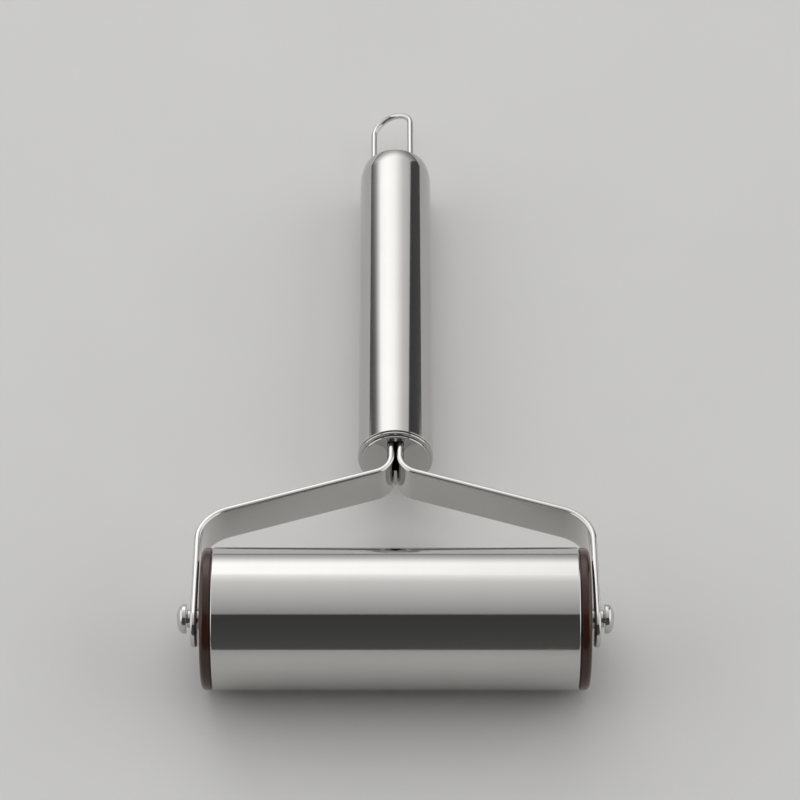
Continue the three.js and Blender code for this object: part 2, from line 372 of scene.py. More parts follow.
@dataclass
class Sweep:
    """Carries the selected section along straights and bends in the plane of the handle and the axle."""

    place: Vector
    heading: float

    def direction(self, turned_by: float = 0.0) -> Vector:
        """Unit vector at an angle from the heading."""
        angle = self.heading + turned_by
        return Vector((math.cos(angle), math.sin(angle), 0.0))

    def forward(self, length: float) -> None:
        """Extrude straight ahead.

        Args:
            length: how far.
        """
        step = self.direction() * length
        bpy.ops.mesh.extrude_region_move(TRANSFORM_OT_translate={"value": step})
        self.place += step

    def bend(self, angle: float, radius: float, steps: int) -> None:
        """Spin round a bend. The spin operator counts its angle left-handed.

        Args:
            angle: right-handed angle of the bend.
            radius: radius at the middle of the section.
            steps: number of facets.
        """
        centre = self.place + self.direction(math.copysign(QUARTER, angle)) * radius
        bpy.ops.mesh.spin(steps=steps, angle=-angle, center=centre, axis=(0.0, 0.0, 1.0))
        self.place = centre + Matrix.Rotation(angle, 3, "Z") @ (self.place - centre)
        self.heading += angle


@dataclass
class Wire:
    """A shader value that takes part in Python arithmetic by adding Math nodes."""

    graph: "Graph"
    socket: bpy.types.NodeSocket

    def __add__(self, other: "Wire | float") -> "Wire":
        """Sum with a value or a number."""
        return self.graph.math("ADD", self, other)

    __radd__ = __add__

    def __sub__(self, other: "Wire | float") -> "Wire":
        """Difference from a value or a number."""
        return self.graph.math("SUBTRACT", self, other)

    def __rsub__(self, other: "Wire | float") -> "Wire":
        """A number less this value."""
        return self.graph.math("SUBTRACT", other, self)

    def __mul__(self, other: "Wire | float") -> "Wire":
        """Product with a value or a number."""
        return self.graph.math("MULTIPLY", self, other)

    __rmul__ = __mul__


@dataclass
class Graph:
    """A node tree under construction."""

    tree: bpy.types.NodeTree

    @classmethod
    def emptied(cls, owner: bpy.types.Material | bpy.types.World | bpy.types.Light) -> "Graph":
        """Start the tree of a material, a world or a lamp afresh.

        Args:
            owner: what the tree belongs to.

        Returns:
            The empty tree.
        """
        owner.use_nodes = True
        owner.node_tree.nodes.clear()
        return cls(owner.node_tree)

    def node(self, kind: str, settings: dict, inputs: dict, output: str = "") -> Wire:
        """Add a node.

        Args:
            kind: the node's type.
            settings: its properties, and a ramp's stops as (place, colour) pairs, which are set first.
            inputs: values or wires for its sockets, by name.
            output: the socket that is wanted, or the first one in use.

        Returns:
            The wire that leaves that socket.
        """
        node = self.tree.nodes.new(kind)
        for name, value in settings.items():
            if name == "stops":
                self.set_stops(node.color_ramp, value)
            else:
                setattr(node, name, value)
        for name, value in inputs.items():
            self.plug(next(s for s in node.inputs if s.enabled and s.name == name), value)
        found = [s for s in node.outputs if s.enabled and output in ("", s.name)]
        return Wire(self, found[0] if found else None)

    def plug(self, socket: bpy.types.NodeSocket, value: Wire | float | Sequence[float]) -> None:
        """Lead a wire to a socket, or set a plain value on it.

        Args:
            socket: the socket.
            value: the wire or the value.
        """
        if isinstance(value, Wire):
            self.tree.links.new(value.socket, socket)
        else:
            socket.default_value = value

    @staticmethod
    def set_stops(ramp: bpy.types.ColorRamp, stops: Iterable[tuple[float, Colour]]) -> None:
        """Place a ramp's stops.

        Args:
            ramp: the ramp.
            stops: pairs of place and colour, in order.
        """
        for index, (place, colour) in enumerate(stops):
            stop = ramp.elements[index] if index < len(ramp.elements) else ramp.elements.new(place)
            stop.position = place
            stop.color = (*colour, 1.0)

    def math(self, operation: str, *values: "Wire | float") -> Wire:
        """Add a Math node.

        Args:
            operation: what it does.
            values: its operands.

        Returns:
            The result.
        """
        node = self.tree.nodes.new("ShaderNodeMath")
        node.operation = operation
        for socket, value in zip(node.inputs, values):
            self.plug(socket, value)
        return Wire(self, node.outputs[0])

    def mix(self, factor: Wire, first: Colour, second: Colour) -> Wire:
        """Mix two colours.

        Args:
            factor: share of the second colour.
            first: colour at 0.
            second: colour at 1.

        Returns:
            The mixed colour.
        """
        inputs = {"Factor": factor, "A": (*first, 1.0), "B": (*second, 1.0)}
        return self.node("ShaderNodeMix", {"data_type": "RGBA"}, inputs)

    def tool_coordinates(self, mark: Sequence[float]) -> Wire:
        """Object coordinates turned into the tool's frame and counted in marks.

        Args:
            mark: length of one mark along X, Y and Z, in metres.

        Returns:
            The coordinates.
        """
        place = self.node("ShaderNodeTexCoord", {}, {}, "Object")
        inputs = {"Vector": place, "Location": TOOL.origin, "Rotation": (TOOL.tilt, 0.0, 0.0), "Scale": mark}
        return self.node("ShaderNodeMapping", {"vector_type": "TEXTURE"}, inputs)

    def noise(self, mark: Sequence[float], grain: Grain) -> Wire:
        """Noise whose marks have a real size.

        Args:
            mark: length of one mark along X, Y and Z, in metres.
            grain: kind of noise.

        Returns:
            A value about NOISE_MEAN.
        """
        detail, roughness = grain.value
        place = self.tool_coordinates(mark)
        inputs = {"Vector": place, "Scale": 1.0, "Detail": detail, "Roughness": roughness}
        return self.node("ShaderNodeTexNoise", {}, inputs)

    def above(self, value: Wire, low: float, high: float) -> Wire:
        """A soft mask, 0 below one level and 1 above another.

        Args:
            value: what is measured.
            low: level where the mask starts.
            high: level where it is full.

        Returns:
            The mask.
        """
        inputs = {"Value": value, "From Min": low, "From Max": high}
        return self.node("ShaderNodeMapRange", {"interpolation_type": "SMOOTHSTEP"}, inputs)

    def principled(self, inputs: dict) -> None:
        """End a material's tree with a Principled shader of these inputs."""
        shader = self.node("ShaderNodeBsdfPrincipled", {}, inputs)
        self.node("ShaderNodeOutputMaterial", {}, {"Surface": shader})


@dataclass(frozen=True)
class Finish:
    """What a piece's surface is."""

    name: str
    slot: Slot

    @cache
    def material(self) -> bpy.types.Material:
        """Make the material.

        Returns:
            The material, one for all pieces of this finish.
        """
        material = bpy.data.materials.new(self.name)
        graph = Graph.emptied(material)
        graph.principled(self.inputs(graph))
        return material

    def inputs(self, graph: Graph) -> dict:
        """The shader's inputs, which each kind of finish makes its own way."""
        raise NotImplementedError


@dataclass(frozen=True)
class Steel(Finish):
    """Polished stainless steel with fine lines of polishing, soft clouding and a few dull smears."""

    line: tuple[float, float, float]
    roughness: float = 0.075
    light: Colour = (0.64, 0.63, 0.61)
    dark: Colour = (0.57, 0.56, 0.545)
    cloud: float = 0.018
    cloud_share: float = 0.7
    cloud_dulling: float = 0.02
    smear: float = 0.03
    smear_levels: Point = (0.55, 0.75)
    smear_dulling: float = 0.05
    line_depth: float = 4e-7
    line_dulling: float = 0.03
    wave: float = 0.012
    wave_depth: float = 6e-6

    def inputs(self, graph: Graph) -> dict:
        """Make the shader's inputs.

        Args:
            graph: the material's nodes.

        Returns:
            Values and wires by the name of their socket.
        """
        lines = graph.noise(self.line, Grain.FINE)
        clouds = graph.noise((self.cloud,) * 3, Grain.CLOUDS)
        smears = graph.above(graph.noise((self.smear,) * 3, Grain.PATCHES), *self.smear_levels)
        waves = graph.noise((self.wave,) * 3, Grain.WAVES)
        shade = self.cloud_share * clouds + (1.0 - self.cloud_share) * lines
        roughness = (
            self.roughness
            + self.line_dulling * (lines - NOISE_MEAN)
            + self.cloud_dulling * (clouds - NOISE_MEAN)
            + self.smear_dulling * smears
        )
        long_waves = graph.node("ShaderNodeBump", {}, {"Height": waves, "Distance": self.wave_depth})
        relief = {"Height": lines, "Distance": self.line_depth, "Normal": long_waves}
        return {
            "Base Color": graph.mix(shade, self.dark, self.light),
            "Metallic": 1.0,
            "Roughness": roughness,
            "Normal": graph.node("ShaderNodeBump", {}, relief),
        }


@dataclass(frozen=True)
class Moulding(Finish):
    """Dark moulded plastic with a fine satin skin."""

    light: Colour = (0.052, 0.016, 0.006)
    dark: Colour = (0.033, 0.010, 0.004)
    roughness: float = 0.16
    gloss: float = 0.5
    pebble: float = 0.0005
    pebble_depth: float = 5e-6
    flow: float = 0.012
    flow_share: float = 0.75
    flow_dulling: float = 0.05
    scuff: float = 0.024
    scuff_levels: Point = (0.52, 0.72)
    scuff_dulling: float = 0.08

    def inputs(self, graph: Graph) -> dict:
        """Make the shader's inputs.

        Args:
            graph: the material's nodes.

        Returns:
            Values and wires by the name of their socket.
        """
        pebbles = graph.noise((self.pebble,) * 3, Grain.FINE)
        flow = graph.noise((self.flow,) * 3, Grain.CLOUDS)
        scuffs = graph.above(graph.noise((self.scuff,) * 3, Grain.PATCHES), *self.scuff_levels)
        shade = self.flow_share * flow + (1.0 - self.flow_share) * pebbles
        dulling = self.flow_dulling * (flow - NOISE_MEAN) + self.scuff_dulling * scuffs
        relief = {"Height": pebbles, "Distance": self.pebble_depth}
        return {
            "Base Color": graph.mix(shade, self.dark, self.light),
            "Roughness": self.roughness + dulling,
            "Specular IOR Level": self.gloss,
            "Normal": graph.node("ShaderNodeBump", {}, relief),
        }


LONG_MARK = 0.04
FINE_MARK = 0.0005
ROLLER_STEEL = Steel("roller_steel", Slot.POLISHED_STEEL, (FINE_MARK, LONG_MARK, LONG_MARK))
HANDLE_STEEL = Steel(
    "handle_steel",
    Slot.POLISHED_STEEL,
    (LONG_MARK, FINE_MARK, LONG_MARK),
    light=(0.58, 0.572, 0.555),
    dark=(0.515, 0.507, 0.494),
)
STRIP_STEEL = Steel("strip_steel", Slot.BRIGHT_STEEL, (LONG_MARK, LONG_MARK, FINE_MARK), roughness=0.08)
WIRE_STEEL = Steel("wire_steel", Slot.BRIGHT_STEEL, (FINE_MARK, LONG_MARK, FINE_MARK), roughness=0.08)
TURNED_STEEL = Steel("turned_steel", Slot.BRIGHT_STEEL, (FINE_MARK, LONG_MARK, LONG_MARK), roughness=0.12)
CAP_BROWN = Moulding("cap_brown", Slot.BROWN_PLASTIC)


@dataclass
class SubAssembly:
    """Pieces of one body, built and dressed together in one finish, but for those named with another."""

    body: ClassVar[Body]
    finish: ClassVar[Finish]
    other_finishes: ClassVar[dict[str, Finish]] = {}
    pieces: dict[str, Workpiece] = field(default_factory=dict, init=False)

    def build(self) -> None:
        """Model the pieces, each kind of sub-assembly its own."""
        raise NotImplementedError

    def dress(self) -> None:
        """Lay the pieces in place and finish them."""
        for node, piece in self.pieces.items():
            piece.dress(self.other_finishes.get(node, self.finish), self.body, node)


@dataclass
class Handle(SubAssembly):
    """Tubular handle: the tube, a slotted front cap, a rounded rear cap and a wire loop."""

    body = Body.FRAME
    finish = HANDLE_STEEL
    other_finishes = {"hanging_loop": WIRE_STEEL}
    drop: float = 2.1
    radius: float = 11.0
    wall: float = 0.7
    seam: float = 0.3
    tube_break: float = 0.2
    segments: int = 192
    front_face_y: float = 63.5
    front_face_radius: float = 10.0
    front_face_edge: float = 0.5
    face_edge_steps: int = 6
    front_floor: float = 1.5
    bead_radius: float = 0.4
    bead_steps: int = 12
    skirt_wall: float = 0.8
    front_skirt_depth: float = 10.0
    slot_width: float = 4.74
    slot_height: float = 12.3
    slot_edge: float = 0.2
    rear_face_y: float = 191.0
    rear_shoulder: float = 2.5
    rear_shoulder_steps: int = 8
    rear_edge: float = 0.8
    rear_edge_steps: int = 12
    crown_length: float = 6.0
    crown_radius: float = 20.0
    crown_steps: int = 10
    rear_floor: float = 0.8
    rear_skirt_depth: float = 6.0
    rear_seam: float = 0.02
    wire_radius: float = 0.95
    wire_clearance: float = 0.12
    wire_sides: int = 32
    loop_radius: float = 6.37
    loop_steps: int = 64
    loop_crown_y: float = 212.4
    loop_roll: float = math.radians(25.5)
    loop_offset: float = -1.2
    hook_radius: float = 2.0
    hook_steps: int = 16
    hook_tip_x: float = 2.6
    hook_y: float = 187.3

    @property
    def front_back_y(self) -> float:
        """Where the front cap's bead meets the tube."""
        return self.front_face_y + self.front_floor

    @property
    def rear_seam_y(self) -> float:
        """Where the tube ends and the rear cap shows."""
        return self.rear_face_y - self.rear_shoulder

    @property
    def crown_start_y(self) -> float:
        """Where the handle starts to draw in towards its rear end."""
        return self.rear_face_y - self.crown_length

    @property
    def crown_end(self) -> float:
        """Angle at which the crown runs into the rear edge."""
        return math.asin((self.crown_length - self.rear_edge) / (self.crown_radius - self.rear_edge))

    @property
    def skirt_radius(self) -> float:
        """Outside of the skirts inside the tube."""
        return self.radius - self.wall - self.seam

    def build(self) -> None:
        """Model the four pieces about the handle's axis, and lower them below the fork's middle."""
        self.pieces = {
            "handle_tube": self.tube(),
            "handle_front_cap": self.front_cap(),
            "handle_rear_cap": self.rear_cap(),
            "hanging_loop": self.loop(),
        }
        for piece in self.pieces.values():
            piece.activate()
            piece.obj.location.z = -self.drop
            piece.settle()

    def crown(self, start: float, end: float) -> list[Point]:
        """Points along the crown that tube and rear cap share.

        Args:
            start: angle from the handle's straight side at the first point.
            end: angle at the last point.

        Returns:
            The points of (radius, height).
        """
        centre = (self.radius - self.crown_radius, self.crown_start_y)
        return arc(centre, self.crown_radius, start, end, self.crown_steps)

    def tube(self) -> Workpiece:
        """The tube, with its front rim a little rounded and its rear end drawn in.

        Returns:
            The piece.
        """
        inner = self.radius - self.wall
        front = self.front_back_y + self.seam
        rear = self.rear_seam_y - self.rear_seam
        rim = (self.radius - self.tube_break, front + self.tube_break)
        profile = [
            (inner, front),
            *arc(rim, self.tube_break, -QUARTER, 0.0, BREAK_STEPS),
            *self.crown(0.0, math.asin((rear - self.crown_start_y) / self.crown_radius)),
            (inner, rear),
        ]
        piece = Workpiece.turned("polished_handle_tube", profile, self.segments, ring=True)
        return piece.smooth()

    def front_cap(self) -> Workpiece:
        """The front cap: a flat face, a step, a bead against the tube and a skirt inside it, slotted.

        Returns:
            The piece.
        """
        inner = self.skirt_radius - self.skirt_wall
        back = self.front_back_y
        skirt_end = back + self.front_skirt_depth
        edge = self.front_face_edge
        face_edge = (self.front_face_radius - edge, self.front_face_y + edge)
        bead = (self.radius - self.bead_radius, back - self.bead_radius)
        profile = [
            (0.0, self.front_face_y),
            *arc(face_edge, edge, -QUARTER, 0.0, self.face_edge_steps),
            (self.front_face_radius, back - 2 * self.bead_radius),
            *arc(bead, self.bead_radius, -QUARTER, QUARTER, self.bead_steps),
            (self.skirt_radius, back),
            (self.skirt_radius, skirt_end),
            (inner, skirt_end),
            (inner, back),
            (0.0, back),
        ]
        piece = Workpiece.turned("polished_front_cap", profile, self.segments)
        middle = (0.0, self.front_face_y + self.front_floor / 2, self.drop)
        size = (self.slot_width, CUTTER_REACH * self.front_floor, self.slot_height)
        slot = Workpiece.block("slot", size, middle)
        slot.modify("BEVEL", width=self.slot_edge, segments=SOFT_STEPS)
        piece.join(slot, Joining.CUT)
        return piece.smooth()

    def rear_cap(self) -> Workpiece:
        """The rear cap: crowned and rounded, with a skirt inside the tube and two holes for the wire.

        Returns:
            The piece.
        """
        inner = self.skirt_radius - self.skirt_wall
        seam = self.rear_seam_y
        skirt_end = seam - self.rear_skirt_depth
        corner = (self.radius - self.rear_shoulder, seam)
        seam_angle = math.asin((seam - self.crown_start_y) / self.crown_radius)
        crown = self.crown(seam_angle, self.crown_end)
        edge_radius = crown[-1][0] - self.rear_edge * math.cos(self.crown_end)
        edge_centre = (edge_radius, self.rear_face_y - self.rear_edge)
        inner_shoulder = self.rear_shoulder - self.rear_floor
        profile = [
            (0.0, self.rear_face_y - self.rear_floor),
            *arc(corner, inner_shoulder, QUARTER, 0.0, self.rear_shoulder_steps)[:-1],
            (inner, seam - self.tube_break),
            (inner, skirt_end),
            (self.skirt_radius, skirt_end),
            (self.skirt_radius, seam),
            *crown,
            *arc(edge_centre, self.rear_edge, self.crown_end, QUARTER, self.rear_edge_steps)[1:],
            (0.0, self.rear_face_y),
        ]
        piece = Workpiece.turned("polished_rear_cap", profile, self.segments)
        bore = self.wire_radius + self.wire_clearance
        for reach in (-self.loop_radius, self.loop_radius):
            place = (self.loop_offset + reach, self.rear_face_y - self.rear_floor / 2, 0.0)
            hole = Workpiece.rod("wire_hole", bore, CUTTER_REACH * self.rear_floor, place, self.wire_sides)
            piece.join(hole, Joining.CUT)
        return piece.smooth().turn(Axis.Y, -self.loop_roll)

    def loop(self) -> Workpiece:
        """The hanging loop: wire from one inward hook behind the rear cap, round the crown, to the other.

        Returns:
            The piece.
        """
        start = Vector((self.loop_offset + self.hook_tip_x, self.hook_y, 0.0))
        bpy.ops.object.select_all(action="DESELECT")
        bpy.ops.mesh.primitive_circle_add(
            vertices=self.wire_sides,
            radius=self.wire_radius,
            fill_type="NGON",
            location=start,
            rotation=(0.0, QUARTER, 0.0),
        )
        piece = Workpiece.taken("wire_hanging_loop").settle()
        bpy.ops.object.mode_set(mode="EDIT")
        bpy.ops.mesh.select_all(action="SELECT")
        hook_run = self.loop_radius - self.hook_radius - self.hook_tip_x
        side_run = self.loop_crown_y - self.hook_y - self.hook_radius
        sweep = Sweep(start, 0.0)
        sweep.forward(hook_run)
        sweep.bend(QUARTER, self.hook_radius, self.hook_steps)
        sweep.forward(side_run)
        sweep.bend(HALF_TURN, self.loop_radius, self.loop_steps)
        sweep.forward(side_run)
        sweep.bend(QUARTER, self.hook_radius, self.hook_steps)
        sweep.forward(hook_run)
        piece.close()
        return piece.smooth().turn(Axis.Y, -self.loop_roll)


@dataclass
class Fork(SubAssembly):
    """Two arms of bent round-edged strip, from tails behind the front cap to legs at the roller's ends."""

    body = Body.FRAME
    finish = STRIP_STEEL
    thickness: float = 1.9
    width: float = 12.0
    edge_radius: float = 0.8
    edge_steps: int = 6
    cut_edge: float = 0.12
    leg_x: float = 56.2
    neck_x: float = 1.27
    slope: float = math.radians(19.5)
    shoulder_corner_y: float = 34.2
    shoulder_radius: float = 12.5
    neck_radius: float = 6.5
    tail_radius: float = 1.4
    tail_end_x: float = 3.7
    tail_y: float = 66.25
    end_y: float = -2.7
    hole_radius: float = 3.0
    hole_sides: int = 64
    bend_steps: int = 40
    tail_steps: int = 20
    tip_steps: int = 24

    def build(self) -> None:
        """Model the right arm, and turn a copy of it half round the handle."""
        right = self.arm()
        left = right.copy("strip_arm_left").turn(Axis.Y, HALF_TURN)
        self.pieces = {"fork_arm_right": right, "fork_arm_left": left}

    def arm(self) -> Workpiece:
        """The right arm.

        Returns:
            The piece.
        """
        start = Vector((self.tail_end_x, self.tail_y, 0.0))
        bpy.ops.object.select_all(action="DESELECT")
        bpy.ops.mesh.primitive_plane_add(size=1.0, location=start, rotation=(0.0, QUARTER, 0.0))
        piece = Workpiece.taken("strip_arm_right")
        piece.obj.scale = (self.width, self.thickness, 1.0)
        piece.settle()
        bpy.ops.object.mode_set(mode="EDIT")
        self.shape_section(piece)
        self.sweep_strip(Sweep(start, HALF_TURN))
        self.round_tip(piece)
        piece.close()
        length = CUTTER_REACH * self.thickness
        hole = Workpiece.rod("axle_hole", self.hole_radius, length, (0.0, 0.0, 0.0), self.hole_sides)
        hole.turn(Axis.Z, QUARTER)
        hole.obj.location = (self.leg_x, 0.0, 0.0)
        piece.join(hole, Joining.CUT)
        sharp = {"limit_method": "ANGLE", "angle_limit": SMOOTH_ANGLE}
        piece.modify("BEVEL", width=self.cut_edge, segments=SOFT_STEPS, **sharp)
        return piece.smooth()

    def shape_section(self, piece: Workpiece) -> None:
        """Round the section's corners and mark the middles of its flats.

        Args:
            piece: the flat section, in edit mode, which is left selected.
        """
        bpy.ops.mesh.select_mode(type="VERT")
        bpy.ops.mesh.select_all(action="SELECT")
        bpy.ops.mesh.bevel(offset=self.edge_radius, segments=self.edge_steps, affect="VERTICES")
        piece.select_edges(lambda start, end: abs(end.z - start.z) > self.width / 2)
        bpy.ops.mesh.subdivide(number_cuts=1)
        bpy.ops.mesh.select_all(action="SELECT")

    def sweep_strip(self, sweep: Sweep) -> None:
        """Carry the strip's section from the tail to where the leg's end is rounded.

        Args:
            sweep: the carrier, at the tail's end.
        """
        turn = QUARTER - self.slope
        neck_corner_y = self.shoulder_corner_y + (self.leg_x - self.neck_x) * math.tan(self.slope)
        neck_tangent = self.neck_radius * math.tan(turn / 2)
        shoulder_tangent = self.shoulder_radius * math.tan(turn / 2)
        shoulder_run = (self.leg_x - self.neck_x) / math.cos(self.slope)
        sweep.forward(self.tail_end_x - self.neck_x - self.tail_radius)
        sweep.bend(QUARTER, self.tail_radius, self.tail_steps)
        sweep.forward(self.tail_y - self.tail_radius - neck_corner_y - neck_tangent)
        sweep.bend(turn, self.neck_radius, self.bend_steps)
        sweep.forward(shoulder_run - neck_tangent - shoulder_tangent)
        sweep.bend(-turn, self.shoulder_radius, self.bend_steps)
        sweep.forward(self.shoulder_corner_y - shoulder_tangent - self.end_y)

    def round_tip(self, piece: Workpiece) -> None:
        """Round the leg's end by spinning the upper half of its section down to the lower half.

        Args:
            piece: the strip, in edit mode, with the leg's end face selected.
        """

        def on_upper_end(at: Vector) -> bool:
            """Whether a place lies on the upper half of the leg's end."""
            on_end = abs(at.y - self.end_y) < MERGE_DISTANCE
            return on_end and at.x > self.leg_x / 2 and at.z > -MERGE_DISTANCE

        bpy.ops.mesh.delete(type="ONLY_FACE")
        piece.select_vertices(on_upper_end)
        centre = (self.leg_x, self.end_y, 0.0)
        bpy.ops.mesh.spin(steps=self.tip_steps, angle=-HALF_TURN, center=centre, axis=(1.0, 0.0, 0.0))


@dataclass
class Axle(SubAssembly):
    """A rod through the roller and both arms, with a domed screw in each of its tapped ends."""

    body = Body.AXLE
    finish = TURNED_STEEL
    radius: float = 2.6
    end_x: float = 58.1
    end_break: float = 0.25
    tap_radius: float = 1.55
    tap_depth: float = 10.0
    seat_gap: float = 0.3
    head_radius: float = 4.15
    head_height: float = 2.8
    head_side: float = 0.8
    head_break: float = 0.2
    dome_steps: int = 20
    shank_length: float = 8.0
    thread_radius: float = 1.4
    thread_root: float = 1.15
    thread_pitch: float = 0.5
    recess_depth: float = 1.3
    recess_width: float = 0.9
    recess_floor: float = 2.4
    recess_mouth: float = 6.4
    segments: int = 96

    def build(self) -> None:
        """Model the rod and one screw, and turn a copy of the screw to the other end."""
        right = self.screw()
        left = right.copy("domed_screw_left").turn(Axis.Z, HALF_TURN)
        self.pieces = {"axle_rod": self.rod(), "axle_screw_right": right, "axle_screw_left": left}

    def rod(self) -> Workpiece:
        """The rod, tapped at both ends.

        Returns:
            The piece.
        """
        rim = (self.radius - self.end_break, self.end_x - self.end_break)
        half = [
            *arc(rim, self.end_break, 0.0, QUARTER, BREAK_STEPS),
            (self.tap_radius, self.end_x),
            (self.tap_radius, self.end_x - self.tap_depth),
            (0.0, self.end_x - self.tap_depth),
        ]
        piece = Workpiece.turned("turned_axle_rod", mirrored(half), self.segments)
        return piece.smooth().turn(Axis.Z, -QUARTER)

    def thread(self, start: float, end: float) -> list[Point]:
        """Crests and roots of the screw's thread, drawn as rings.

        Args:
            start: height of the tip.
            end: height of the head's seat.

        Returns:
            Profile points from the tip to the seat.
        """
        turns = int((end - start) / self.thread_pitch)
        points = [(self.thread_root, start)]
        for index in range(turns):
            root = start + index * self.thread_pitch
            points.append((self.thread_radius, root + self.thread_pitch / 2))
            points.append((self.thread_root, root + self.thread_pitch))
        return points

    def screw(self) -> Workpiece:
        """The right screw: a threaded shank and a low dome with a cross recess.

        Returns:
            The piece.
        """
        seat = self.end_x + self.seat_gap
        shoulder = seat + self.head_side
        dome = self.head_height - self.head_side
        crown = [
            (self.head_radius * x, shoulder + dome * y)
            for x, y in arc((0.0, 0.0), 1.0, 0.0, QUARTER, self.dome_steps)[:-1]
        ]
        rim = (self.head_radius - self.head_break, seat + self.head_break)
        profile = [
            (0.0, seat - self.shank_length),
            *self.thread(seat - self.shank_length, seat),
            *arc(rim, self.head_break, -QUARTER, 0.0, BREAK_STEPS),
            *crown,
            (0.0, shoulder + dome),
        ]
        piece = Workpiece.turned("domed_screw_right", profile, self.segments).turn(Axis.Z, -QUARTER)
        for turn in (0.0, QUARTER):
            piece.join(self.recess_blade(shoulder + dome).turn(Axis.X, turn), Joining.CUT)
        return piece.smooth()

    def recess_blade(self, crown_x: float) -> Workpiece:
        """One blade of the cross recess, narrowing to its floor.

        Args:
            crown_x: top of the screw's head.

        Returns:
            The blade.
        """
        size = (2 * self.recess_depth, self.recess_width, self.recess_mouth)
        blade = Workpiece.block("recess_blade", size, (crown_x, 0.0, 0.0))
        blade.activate()
        bpy.ops.object.mode_set(mode="EDIT")
        blade.select_vertices(lambda at: at.x < crown_x)
        share = self.recess_floor / self.recess_mouth
        bpy.ops.transform.resize(value=(1.0, 1.0, share), center_override=(crown_x, 0.0, 0.0))
        blade.close()
        return blade


@dataclass
class Roller(SubAssembly):
    """Polished sleeve with a moulded cap in each end."""

    body = Body.ROLLER
    finish = CAP_BROWN
    other_finishes = {"roller_tube": ROLLER_STEEL}
    radius: float = TOOL.origin[2] / MM
    length: float = 102.0
    wall: float = 0.8
    lip: float = 0.55
    lip_steps: int = 8
    segments: int = 256
    seam: float = 0.3
    cap_radius: float = 19.88
    cap_face_x: float = 54.1
    cap_edge: float = 1.5
    cap_edge_steps: int = 12
    cap_inner_edge: float = 0.2
    cap_web: float = 2.4
    spigot_depth: float = 9.0
    spigot_wall: float = 2.0
    lead_in: float = 0.8
    bore: float = 2.9
    hub_radius: float = 5.5
    boss_radius: float = 5.0
    boss_height: float = 0.8
    boss_break: float = 0.25
    rib_count: int = 6
    rib_thickness: float = 1.4
    rib_setback: float = 1.0

    def build(self) -> None:
        """Model the sleeve and one cap, and turn a copy of the cap to the other end."""
        right = self.cap()
        left = right.copy("moulded_cap_left").turn(Axis.Z, HALF_TURN)
        self.pieces = {"roller_tube": self.sleeve(), "roller_cap_right": right, "roller_cap_left": left}

    def sleeve(self) -> Workpiece:
        """The sleeve, with its rims rounded.

        Returns:
            The piece.
        """
        end = self.length / 2
        inner = self.radius - self.wall
        rim = (self.radius - self.lip, end - self.lip)
        half = [*arc(rim, self.lip, 0.0, QUARTER, self.lip_steps), (inner, end)]
        piece = Workpiece.turned("polished_roller_sleeve", mirrored(half), self.segments, ring=True)
        return piece.smooth().turn(Axis.Z, -QUARTER)

    def cap(self) -> Workpiece:
        """The right cap: a flange, a ribbed spigot inside the sleeve and a bored hub with a low boss.

        Returns:
            The piece.
        """
        seat = self.length / 2 + self.seam
        web = self.cap_face_x - self.cap_web
        spigot = self.radius - self.wall - self.seam
        spigot_inner = spigot - self.spigot_wall
        spigot_end = seat - self.spigot_depth
        boss = self.cap_face_x + self.boss_height
        inner_edge = (self.cap_radius - self.cap_inner_edge, seat + self.cap_inner_edge)
        outer_edge = (self.cap_radius - self.cap_edge, self.cap_face_x - self.cap_edge)
        boss_foot = (self.boss_radius + self.boss_break, self.cap_face_x + self.boss_break)
        boss_rim = (self.boss_radius - self.boss_break, boss - self.boss_break)
        profile = [
            (self.bore, spigot_end),
            (self.hub_radius, spigot_end),
            (self.hub_radius, web),
            (spigot_inner, web),
            (spigot_inner, spigot_end),
            (spigot - self.lead_in, spigot_end),
            (spigot, spigot_end + self.lead_in),
            (spigot, seat),
            *arc(inner_edge, self.cap_inner_edge, -QUARTER, 0.0, BREAK_STEPS),
            *arc(outer_edge, self.cap_edge, 0.0, QUARTER, self.cap_edge_steps),
            *arc(boss_foot, self.boss_break, -QUARTER, -HALF_TURN, BREAK_STEPS),
            *arc(boss_rim, self.boss_break, 0.0, QUARTER, BREAK_STEPS),
            (self.bore, boss),
        ]
        piece = Workpiece.turned("moulded_cap_right", profile, self.segments, ring=True)
        piece.turn(Axis.Z, -QUARTER)
        reach = spigot_inner - self.hub_radius + self.spigot_wall
        size = (web - spigot_end, self.rib_thickness, reach)
        place = ((web + spigot_end) / 2 + self.rib_setback, 0.0, (spigot_inner + self.hub_radius) / 2)
        for index in range(self.rib_count):
            rib = Workpiece.block("rib", size, place).turn(Axis.X, TURN * index / self.rib_count)
            piece.join(rib, Joining.ADD)
        return piece.smooth()


